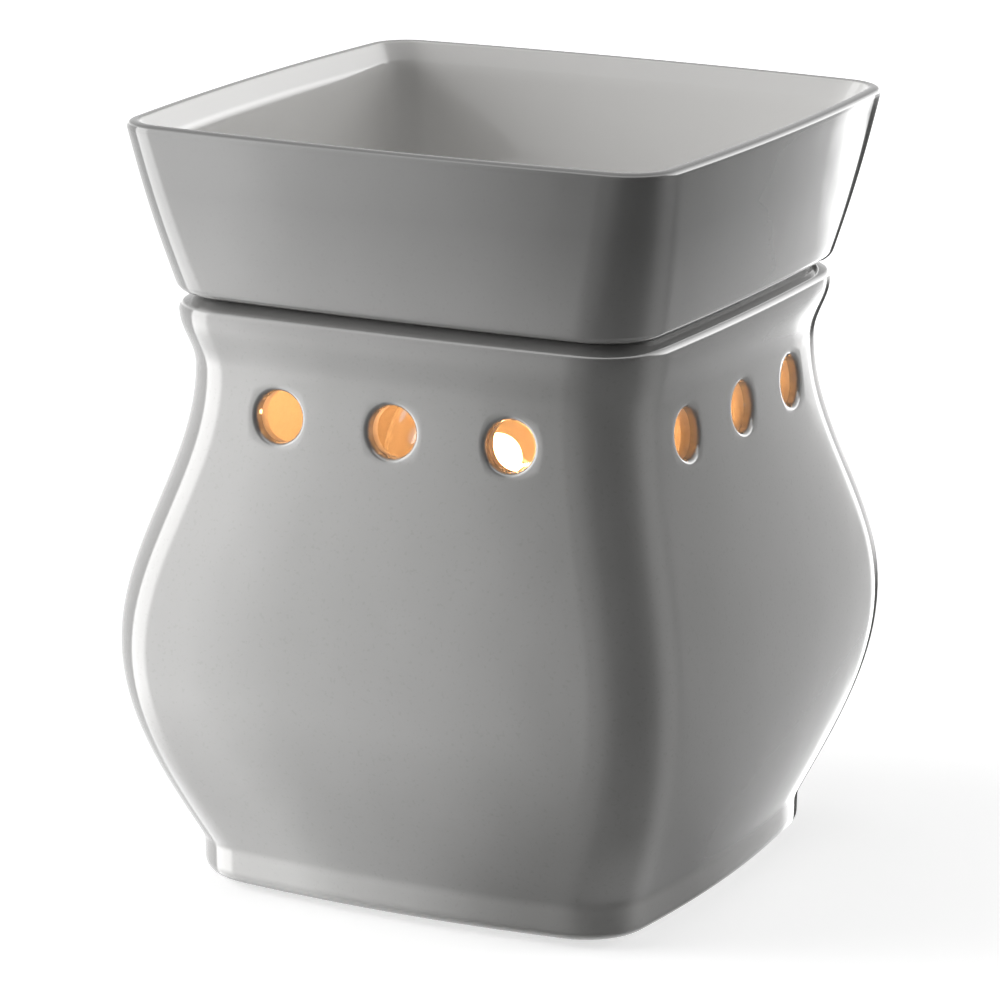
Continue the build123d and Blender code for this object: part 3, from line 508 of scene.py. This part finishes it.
# Three light holes in each side, and the grommet's hole low in the back.
gaps = set()
for quarter in range(4):
    for start, x in ((1, -HOLE_SPACING), (18, 0), (35, HOLE_SPACING)):
        pierce(quarter, start, hole_row, inner_hole_row, (x, HOLE_Z), HOLE_RADIUS, HOLE_EDGE, HOLE_LEAN)
pierce(2, 18, cord_row, inner_cord_row, (0, CORD_HOLE_Z), CORD_HOLE_RADIUS, CORD_HOLE_EDGE, CORD_HOLE_LEAN)
for row in range(len(rings)):
    for column in range(COLUMNS):
        if (row, column) not in gaps:
            here, after = row * COLUMNS, (row + 1) % len(rings) * COLUMNS
            right = (column + 1) % COLUMNS
            face = (here + column, here + right, after + right, after + column)
            (faces if row < glazed_rings else bare_faces).append(face)
shell = make_piece("glazed_body", points, faces + bare_faces, (glaze, bisque), "housing",
                   ("body_shell",))
shell.data.polygons.foreach_set("material_index", [0] * len(faces) + [1] * len(bare_faces))


# Base plate: the pressed steel lid that closes the body from below, with a raised pan and twelve vents.
# It is plated with zinc and passivated, which leaves a cool, softly clouded silver.
def dress(name, material):
    """Gives a CAD node its material."""
    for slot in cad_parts[name].material_slots:
        slot.material = material


# Zinc plating: a bright metal whose fine crystals blur what it mirrors, with drawn marks from the press.
zinc, tree = new_material("zinc plated steel")
place = add(tree, "ShaderNodeTexCoord")
crystal = add(tree, "ShaderNodeTexVoronoi", values={"Scale": 1000 / 1.6},
              links={"Vector": place.outputs["Object"]})
stretch = add(tree, "ShaderNodeMapping", values={"Scale": (1, 14, 14)},
              links={"Vector": place.outputs["Object"]})
drawn = add(tree, "ShaderNodeTexNoise", values={"Scale": 1000 / 6, "Detail": 4, "Roughness": 0.7},
            links={"Vector": stretch.outputs[0]})
bright = add(tree, "ShaderNodeMix", data_type="RGBA", values={6: linear("b4b7ba"), 7: linear("cfd1d2")},
             links={0: crystal.outputs["Color"]})
blur = add(tree, "ShaderNodeMapRange", values={"To Min": 0.28, "To Max": 0.48},
           links={"Value": drawn.outputs[0]})
marks = add(tree, "ShaderNodeBump", values={"Strength": 0.3, "Distance": 0.00003},
            links={"Height": drawn.outputs[0]})
plating = add(tree, "ShaderNodeBsdfPrincipled", values={"Metallic": 1.0},
              links={"Base Color": bright.outputs[2], "Roughness": blur.outputs[0],
                     "Normal": marks.outputs[0]})
add(tree, "ShaderNodeOutputMaterial", links={"Surface": plating.outputs[0]})
dress("base_plate", zinc)


# Feet: four tapered pads moulded in nitrile rubber, each held by the screw through its recess. They keep
# the hot base off the table and grip it.
# Nitrile rubber: nearly black and dull, with a fine moulded grain and a faint bloom of paler dust.
rubber, tree = new_material("moulded nitrile rubber")
place = add(tree, "ShaderNodeTexCoord")
bloom = add(tree, "ShaderNodeTexNoise", values={"Scale": 1000 / 4, "Detail": 5, "Roughness": 0.65},
            links={"Vector": place.outputs["Object"]})
dusty = add(tree, "ShaderNodeMix", data_type="RGBA", values={6: linear("1d1d1e"), 7: linear("323233")},
            links={0: bloom.outputs[0]})
pores = add(tree, "ShaderNodeTexNoise", values={"Scale": 1000 / 0.35, "Detail": 2},
            links={"Vector": place.outputs["Object"]})
mould = add(tree, "ShaderNodeBump", values={"Strength": 0.4, "Distance": 0.00003},
            links={"Height": pores.outputs[0]})
pad = add(tree, "ShaderNodeBsdfPrincipled",
          values={"Roughness": 0.62, "Specular IOR Level": 0.4, "IOR": 1.52},
          links={"Base Color": dusty.outputs[2], "Normal": mould.outputs[0]})
add(tree, "ShaderNodeOutputMaterial", links={"Surface": pad.outputs[0]})
for name in ("foot_front_left", "foot_front_right", "foot_rear_left", "foot_rear_right"):
    dress(name, rubber)


# Fixings: four pan-head steel screws go up through the feet into flanged nuts of nylon, which sit in
# holes in the clay floor and take up its shrinkage.
dress("base_screws", zinc)

# Nylon: natural, undyed and a little translucent, so light enters it and its edges look soft and milky.
nylon, tree = new_material("natural moulded nylon")
place = add(tree, "ShaderNodeTexCoord")
flow = add(tree, "ShaderNodeTexNoise", values={"Scale": 1000 / 3, "Detail": 2},
           links={"Vector": place.outputs["Object"]})
milky = add(tree, "ShaderNodeMix", data_type="RGBA", values={6: linear("dedacd"), 7: linear("ebe8dd")},
            links={0: flow.outputs[0]})
sheen = add(tree, "ShaderNodeMapRange", values={"To Min": 0.34, "To Max": 0.46},
            links={"Value": flow.outputs[0]})
moulded = add(tree, "ShaderNodeBsdfPrincipled",
              values={"IOR": 1.53, "Subsurface Weight": 0.3, "Subsurface Scale": 0.0012,
                      "Subsurface Radius": (1.0, 0.8, 0.6)},
              links={"Base Color": milky.outputs[2], "Roughness": sheen.outputs[0]})
add(tree, "ShaderNodeOutputMaterial", links={"Surface": moulded.outputs[0]})
dress("floor_nuts", nylon)


# Cord grommet: a rubber bush snapped into the lower back wall, square to it, with a tapered flange
# inside that lets it be pulled through.
dress("cord_grommet", rubber)


# Threaded stem: a hollow M10 x 1 steel stem that clamps the holder's bracket to the base plate between
# two thin nuts, with a split washer. Its thread is cut, so the crests are sharp and bright.
def turned(profile, columns, shape=lambda r, z, a: r):
    """Points and faces of a turned form from a closed profile; a point on the axis is one vertex."""
    points, faces, loops = [], [], []
    for r, z in profile:
        count = columns if r > 0 else 1
        loops.append(range(len(points), len(points) + count))
        for i in range(count):
            a = 2 * pi * i / columns
            points.append((shape(r, z, a) * cos(a), shape(r, z, a) * sin(a), z))
    for low, high in zip(loops, loops[1:] + loops[:1]):
        if len(low) == columns == len(high):
            quad_strip(faces, low, high)
        elif len(low) > len(high):
            faces += [(low[i], low[(i + 1) % columns], high[0]) for i in range(columns)]
        elif len(high) > len(low):
            faces += [(low[0], high[(i + 1) % columns], high[i]) for i in range(columns)]
    return points, faces


def helix(middle, depth, pitch, low, high):
    """A right-hand thread for turned(), which dies out at both ends; other radii pass as they are."""
    def shape(r, z, a):
        fade = max(0, min(1, (z - low) / pitch, (high - z) / pitch))
        return r + fade * depth * cos(2 * pi * z / pitch - a) if abs(r - middle) < 0.001 else r
    return shape


stem_profile = [(3.5, 5.9), (3.6, 5.8), (4.4, 5.8)] + [(4.7, z) for z in steps(6.0, 14.6, 86)]
stem_profile += [(4.4, 14.8), (3.6, 14.8), (3.5, 14.7)]
points, faces = turned(stem_profile, 60, helix(4.7, 0.28, 1.0, 5.8, 14.8))
make_piece("stem_thread", points, faces, (zinc,), "housing", ("threaded_stem",))
for name in ("stem_nut_lower", "stem_nut_upper", "lock_washer"):
    dress(name, zinc)


# Holder bracket: a strap of plated steel with a round foot on the stem and two legs up the holder's
# flats, riveted through.
dress("holder_bracket", zinc)
dress("bracket_rivets", zinc)


# Lamp holder: a candelabra holder moulded in black phenolic, which stays hard at the bulb's heat. The
# barrel is gloss from the mould, with flats for the bracket and the leads.
# Phenolic: a brown-black resin with wood flour in it, which shows as a faint mottle under the gloss.
phenolic, tree = new_material("black phenolic moulding")
place = add(tree, "ShaderNodeTexCoord")
flour = add(tree, "ShaderNodeTexNoise", values={"Scale": 1000 / 1.2, "Detail": 4, "Roughness": 0.6},
            links={"Vector": place.outputs["Object"]})
mottle = add(tree, "ShaderNodeMix", data_type="RGBA", values={6: linear("191513"), 7: linear("2a2320")},
             links={0: flour.outputs[0]})
gloss = add(tree, "ShaderNodeMapRange", values={"To Min": 0.26, "To Max": 0.4},
            links={"Value": flour.outputs[0]})
resin = add(tree, "ShaderNodeBsdfPrincipled", values={"IOR": 1.6},
            links={"Base Color": mottle.outputs[2], "Roughness": gloss.outputs[0]})
add(tree, "ShaderNodeOutputMaterial", links={"Surface": resin.outputs[0]})
dress("lamp_holder", phenolic)


# Screw shell and centre contact: thin brass, the shell rolled with the candelabra thread of ten turns
# to the inch, and the tongue sprung up to meet the bulb's solder button.
PITCH, THREAD_DEPTH = 2.54, 0.3
SCREW_OUTER, SCREW_INNER = 6.25, 5.9


def rolled_thread(outer, inner, low, high):
    """The lamp thread for turned(), rolled into thin metal on its outer and its inner radius."""
    outside, inside = [helix(radius, THREAD_DEPTH, PITCH, low, high) for radius in (outer, inner)]
    return lambda r, z, a: outside(r, z, a) if r == outer else inside(r, z, a)


# Brass: a warm yellow metal, bright where it is rolled and browned a little by heat and air.
brass, tree = new_material("rolled brass")
place = add(tree, "ShaderNodeTexCoord")
tarnish = add(tree, "ShaderNodeTexNoise", values={"Scale": 1000 / 5, "Detail": 4},
              links={"Vector": place.outputs["Object"]})
yellow = add(tree, "ShaderNodeMix", data_type="RGBA", values={6: linear("c39a52"), 7: linear("e0c27a")},
             links={0: tarnish.outputs[0]})
dulled = add(tree, "ShaderNodeMapRange", values={"To Min": 0.38, "To Max": 0.2},
             links={"Value": tarnish.outputs[0]})
rolled = add(tree, "ShaderNodeBsdfPrincipled", values={"Metallic": 1.0},
             links={"Base Color": yellow.outputs[2], "Roughness": dulled.outputs[0]})
add(tree, "ShaderNodeOutputMaterial", links={"Surface": rolled.outputs[0]})

shell_profile = [(6.0, 26.5), (6.3, 26.55)] + [(SCREW_OUTER, z) for z in steps(26.9, 44.2, 70)]
shell_profile += [(6.6, 44.8), (6.6, 45.0), (6.4, 45.0)] + [(SCREW_INNER, z) for z in steps(44.2, 26.9, 70)]
points, faces = turned(shell_profile, 96, rolled_thread(SCREW_OUTER, SCREW_INNER, 26.5, 44.6))
make_piece("rolled_screw_shell", points, faces, (brass,), "housing", ("screw_shell",))
dress("centre_contact", brass)


# Holder leads: two short wires in braided glass-fibre sleeves, which stand the heat, bent down from the
# holder's back to the floor.
# Glass-fibre braid: cream yarn about 0.5 mm wide, woven left over right, with varnish in its hollows.
sleeve, tree = new_material("braided glass-fibre sleeve")
place = add(tree, "ShaderNodeTexCoord")
yarn = {"Scale": 1000 / 0.5 / 20, "Distortion": 0.3}
left_yarn = add(tree, "ShaderNodeTexWave", values=yarn, bands_direction="DIAGONAL",
                links={"Vector": place.outputs["Object"]})
flip = add(tree, "ShaderNodeMapping", values={"Scale": (-1, 1, 1)}, links={"Vector": place.outputs["Object"]})
right_yarn = add(tree, "ShaderNodeTexWave", values=yarn, bands_direction="DIAGONAL",
                 links={"Vector": flip.outputs[0]})
woven = add(tree, "ShaderNodeMath", operation="MULTIPLY",
            links={0: left_yarn.outputs["Fac"], 1: right_yarn.outputs["Fac"]})
cream = add(tree, "ShaderNodeMix", data_type="RGBA", values={6: linear("b9ad90"), 7: linear("e6dfcb")},
            links={0: woven.outputs[0]})
yarn_bump = add(tree, "ShaderNodeBump", values={"Strength": 0.7, "Distance": 0.00012},
                links={"Height": woven.outputs[0]})
braid = add(tree, "ShaderNodeBsdfPrincipled", values={"Roughness": 0.6, "Sheen Weight": 0.2},
            links={"Base Color": cream.outputs[2], "Normal": yarn_bump.outputs[0]})
add(tree, "ShaderNodeOutputMaterial", links={"Surface": braid.outputs[0]})
dress("lead_left", sleeve)
dress("lead_right", sleeve)


# Crimp caps: closed-end caps moulded in nylon, pressed over the ends of the leads. They lie loose on the
# clay floor.
dress("crimp_cap_left", nylon)
dress("crimp_cap_right", nylon)


# Bulb: a clear 50 mm globe blown in soda-lime glass, run down into a neck that is cemented in the cap.
# The wall is even and thin, so it shows mostly as a bright rim and a few small reflections.
GLOBE_Z, GLOBE_R, NECK_R, BLEND_R, GLASS = 79.4, 25.0, 5.25, 8.0, 0.7
blend_tilt = atan2(sqrt((GLOBE_R + BLEND_R)**2 - (NECK_R + BLEND_R)**2), NECK_R + BLEND_R)
blend_z = GLOBE_Z - (GLOBE_R + BLEND_R) * sin(blend_tilt)


def blown(inset):
    """The globe's half profile from the neck up to the top, drawn in by inset."""
    profile = [(NECK_R - inset, z) for z in steps(39.6, blend_z, 3)[:-1]]
    profile += [(NECK_R + BLEND_R + (BLEND_R + inset) * cos(a), blend_z + (BLEND_R + inset) * sin(a))
                for a in steps(pi, pi - blend_tilt, 10)]
    profile += [((GLOBE_R - inset) * cos(a), GLOBE_Z + (GLOBE_R - inset) * sin(a))
                for a in steps(-blend_tilt, pi / 2, 56)[1:-1]]
    return profile + [(0, GLOBE_Z + GLOBE_R - inset)]


# Soda-lime glass: colourless and perfectly clear, with a skin so smooth that only its edges show.
glass, tree = new_material("clear soda-lime glass")
place = add(tree, "ShaderNodeTexCoord")
draw = add(tree, "ShaderNodeTexNoise", values={"Scale": 1000 / 9, "Detail": 1},
           links={"Vector": place.outputs["Object"]})
ripple = add(tree, "ShaderNodeBump", values={"Strength": 0.15, "Distance": 0.00003},
             links={"Height": draw.outputs[0]})
clear = add(tree, "ShaderNodeBsdfPrincipled",
            values={"Base Color": linear("ffffff"), "Roughness": 0.0, "IOR": 1.52,
                    "Transmission Weight": 1.0},
            links={"Normal": ripple.outputs[0]})
add(tree, "ShaderNodeOutputMaterial", links={"Surface": clear.outputs[0]})

points, faces = turned(blown(0) + blown(GLASS)[::-1], 128)
globe = make_piece("bulb_globe", points, faces, (glass,), "bulb", ("bulb_glass",))
globe.visible_shadow = False
dress("bulb_stem", glass)
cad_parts["bulb_stem"].visible_shadow = False

# Nickel plating on the brass cap: a warm silver, bright on the rolled crests of the thread.
nickel, tree = new_material("nickel plated brass")
place = add(tree, "ShaderNodeTexCoord")
wear = add(tree, "ShaderNodeTexNoise", values={"Scale": 1000 / 3, "Detail": 4},
           links={"Vector": place.outputs["Object"]})
silver = add(tree, "ShaderNodeMix", data_type="RGBA", values={6: linear("b9b3a8"), 7: linear("d3cec4")},
             links={0: wear.outputs[0]})
rubbed = add(tree, "ShaderNodeMapRange", values={"To Min": 0.16, "To Max": 0.32},
             links={"Value": wear.outputs[0]})
plated = add(tree, "ShaderNodeBsdfPrincipled", values={"Metallic": 1.0},
             links={"Base Color": silver.outputs[2], "Roughness": rubbed.outputs[0]})
add(tree, "ShaderNodeOutputMaterial", links={"Surface": plated.outputs[0]})

CAP_OUTER, CAP_INNER = 5.65, 5.35
cap_profile = [(4.2, 31.6), (4.6, 31.8), (5.3, 32.9)] + [(CAP_OUTER, z) for z in steps(33.6, 45.0, 60)]
cap_profile += [(5.9, 45.8), (5.9, 47.3), (5.8, 47.6), (5.5, 47.5), (5.5, 46.0)]
cap_profile += [(CAP_INNER, z) for z in steps(45.0, 33.6, 60)] + [(5.0, 33.0), (4.4, 32.1), (4.2, 31.9)]
points, faces = turned(cap_profile, 96, rolled_thread(CAP_OUTER, CAP_INNER, 33.2, 45.8))
make_piece("bulb_screw_cap", points, faces, (nickel,), "bulb", ("bulb_cap",))
for name in ("bulb_wire_left", "bulb_wire_right", "filament_supports"):
    dress(name, nickel)

# Black glass under the cap: poured hot as an insulator, so it is glossy and slightly wavy.
vitrite, tree = new_material("black insulating glass")
place = add(tree, "ShaderNodeTexCoord")
pour = add(tree, "ShaderNodeTexNoise", values={"Scale": 1000 / 2, "Detail": 2},
           links={"Vector": place.outputs["Object"]})
uneven = add(tree, "ShaderNodeBump", values={"Strength": 0.4, "Distance": 0.00008},
             links={"Height": pour.outputs[0]})
poured = add(tree, "ShaderNodeBsdfPrincipled",
             values={"Base Color": linear("141216"), "Roughness": 0.12, "IOR": 1.52},
             links={"Normal": uneven.outputs[0]})
add(tree, "ShaderNodeOutputMaterial", links={"Surface": poured.outputs[0]})
dress("bulb_insulator", vitrite)

# Solder: a tin button, melted on, so it is a soft grey with a wrinkled skin.
solder, tree = new_material("tin solder")
place = add(tree, "ShaderNodeTexCoord")
wrinkle = add(tree, "ShaderNodeTexNoise", values={"Scale": 1000 / 0.8, "Detail": 3},
              links={"Vector": place.outputs["Object"]})
dull = add(tree, "ShaderNodeMix", data_type="RGBA", values={6: linear("8f9092"), 7: linear("b3b4b5")},
           links={0: wrinkle.outputs[0]})
set_skin = add(tree, "ShaderNodeBump", values={"Strength": 0.6, "Distance": 0.00008},
               links={"Height": wrinkle.outputs[0]})
button = add(tree, "ShaderNodeBsdfPrincipled", values={"Metallic": 1.0, "Roughness": 0.42},
             links={"Base Color": dull.outputs[2], "Normal": set_skin.outputs[0]})
add(tree, "ShaderNodeOutputMaterial", links={"Surface": button.outputs[0]})
dress("bulb_contact", solder)


# Filament: tungsten wire coiled on a half ring round the rod, white hot. Its own wire is about 0.05 mm
# thick, drawn at twice that so that the turns show.
hot, tree = new_material("white-hot tungsten")
place = add(tree, "ShaderNodeTexCoord")
heat = add(tree, "ShaderNodeTexNoise", values={"Scale": 1000 / 5, "Detail": 1},
           links={"Vector": place.outputs["Object"]})
glow_level = add(tree, "ShaderNodeMapRange", values={"To Min": 22.0, "To Max": 32.0},
                 links={"Value": heat.outputs[0]})
lit = add(tree, "ShaderNodeBsdfPrincipled",
          values={"Base Color": linear("6b6864"), "Metallic": 1.0, "Roughness": 0.4,
                  "Emission Color": linear("ffcf94")},
          links={"Emission Strength": glow_level.outputs[0]})
add(tree, "ShaderNodeOutputMaterial", links={"Surface": lit.outputs[0]})

coil = bpy.data.curves.new("filament_coil", "CURVE")
coil.dimensions = "3D"
coil.bevel_depth = 0.00005
coil.bevel_resolution = 1
spline = coil.splines.new("NURBS")
turns, per_turn = 64, 9
spline.points.add(turns * per_turn - 1)
for i, point in enumerate(spline.points):
    along, spin = pi * i / (turns * per_turn - 1), 2 * pi * i / per_turn
    reach = 9.0 + 0.3 * cos(spin)
    point.co = (-reach * cos(along) * MM, -reach * sin(along) * MM, (82.1 + 0.3 * sin(spin)) * MM, 1)
coil.materials.append(hot)
filament = bpy.data.objects.new("filament_coil", coil)
bpy.context.collection.objects.link(filament)
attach(filament, "bulb")
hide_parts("filament")

# The bulb's light: a 25 watt glow, warm enough to turn the clay inside orange.
light = bpy.data.lights.new("bulb glow", "POINT")
light.energy = 0.085
light.shadow_soft_size = 0.005
light.color = (1.0, 0.5, 0.2)
lamp = bpy.data.objects.new("bulb glow", light)
bpy.context.collection.objects.link(lamp)
lamp.location = (0, -0.005, 0.0825)


# Wax dish: cast from the same stoneware and glazed all over, a flared square tray with a rounded lip.
# It stands on a low seat ring and drops into the deck by a deeper ring that centres it.
SEAT_Z, DISH_Z, RIM_Z, RIM_EDGE, WELL_Z, HEEL = 118.175, 118.575, 152.375, 1.7, 123.075, 2.0
SEAT, HEEL_SIZES, RIM_SIZES = (84.0, 1.5, 12.6), (102.9, 1.5, 12.6), (117.9, 2.5, 9.9)
SWELL, DISH_WALL, LIP_BEVEL, WELL_CORNER = 0.8, 4.0, 1.55, 6.0


def dish_loop(z, inset):
    """One level ring of points round the dish."""
    share = (z - DISH_Z) / (RIM_Z - DISH_Z)
    width, bow, corner = [between(low, high, share) for low, high in zip(HEEL_SIZES, RIM_SIZES)]
    return bowed_square((width + SWELL * sin(pi * share), bow, corner), z, inset)


def shrunk(ring, share, z):
    """A ring drawn in towards the middle."""
    return [(x * share, y * share, z) for x, y, _ in ring]


lip_z, bevel_z = RIM_Z - RIM_EDGE, RIM_Z - 4.2
ring_z, under_z = SEAT_Z - 4.0, DISH_Z + 0.5
centring = bowed_square(OPENING, ring_z, 0.7)
hollow = bowed_square(OPENING, ring_z, 4.2)
dish_rings = [shrunk(hollow, share, under_z) for share in (0.03, 0.3, 0.65, 0.96)]
dish_rings += [shrunk(hollow, 1, under_z - 0.5), shrunk(hollow, 1, ring_z + 0.5)]
dish_rings += [shrunk(hollow, 1.012, ring_z + 0.1), shrunk(hollow, 1.03, ring_z)]
dish_rings += [shrunk(centring, 0.985, ring_z), shrunk(centring, 0.996, ring_z + 0.1)]
dish_rings += [shrunk(centring, 1, ring_z + 0.5), shrunk(centring, 1, SEAT_Z - 0.1)]
dish_rings += [bowed_square(SEAT, SEAT_Z, inset) for inset in (4.0, 0.5, 0.1)]
dish_rings += [bowed_square(SEAT, SEAT_Z + lift) for lift in (0.1, 0.3)]
dish_rings += [dish_loop(DISH_Z + HEEL * (1 - cos(a)), HEEL * (1 - sin(a))) for a in steps(0, pi / 2, 8)]
dish_rings += [dish_loop(z, 0) for z in steps(DISH_Z + HEEL, lip_z, 12)[1:]]
dish_rings += [dish_loop(lip_z + RIM_EDGE * sin(a), RIM_EDGE * (1 - cos(a))) for a in steps(0, pi / 2, 7)[1:]]
lip_row = len(dish_rings)
dish_rings += [dish_loop(RIM_Z - 0.5 * (1 - cos(a)), 2.0 + 0.5 * sin(a)) for a in steps(0, 1.15, 4)]
dish_rings += [dish_loop(z, DISH_WALL - LIP_BEVEL * (z - bevel_z) / (RIM_Z - 0.3 - bevel_z))
               for z in steps(RIM_Z - 0.5, bevel_z, 6)]
dish_rings += [dish_loop(z, DISH_WALL) for z in steps(bevel_z, WELL_Z + WELL_CORNER, 10)[1:]]
dish_rings += [dish_loop(WELL_Z + WELL_CORNER * (1 - sin(a)), DISH_WALL + WELL_CORNER * (1 - cos(a)))
               for a in steps(0, pi / 2, 8)[1:]]
dish_rings += [shrunk(dish_rings[-1], share, WELL_Z) for share in (0.98, 0.7, 0.35, 0.03)]
points = [point for ring in dish_rings for point in ring] + [(0, 0, under_z), (0, 0, WELL_Z)]
faces = []
for here in range(0, (len(dish_rings) - 1) * COLUMNS, COLUMNS):
    quad_strip(faces, range(here, here + COLUMNS), range(here + COLUMNS, here + 2 * COLUMNS))
last = (len(dish_rings) - 1) * COLUMNS
for column in range(COLUMNS):
    right = (column + 1) % COLUMNS
    faces.append((right, column, len(points) - 2))
    faces.append((last + column, last + right, len(points) - 1))
dish = make_piece("glazed_dish", points, faces, (glaze,), "dish", ("wax_dish",))
# Painted light: from just inside the lip down, the well is painted paler, for the light that falls into it
# from above.
well_light = dish.data.attributes.new("painted_well_light", "FLOAT", "POINT")
well_light.data.foreach_set("value", [min(1, max(0, (i // COLUMNS - lip_row) / 4))
                                 for i in range(len(points) - 2)] + [0, 1])
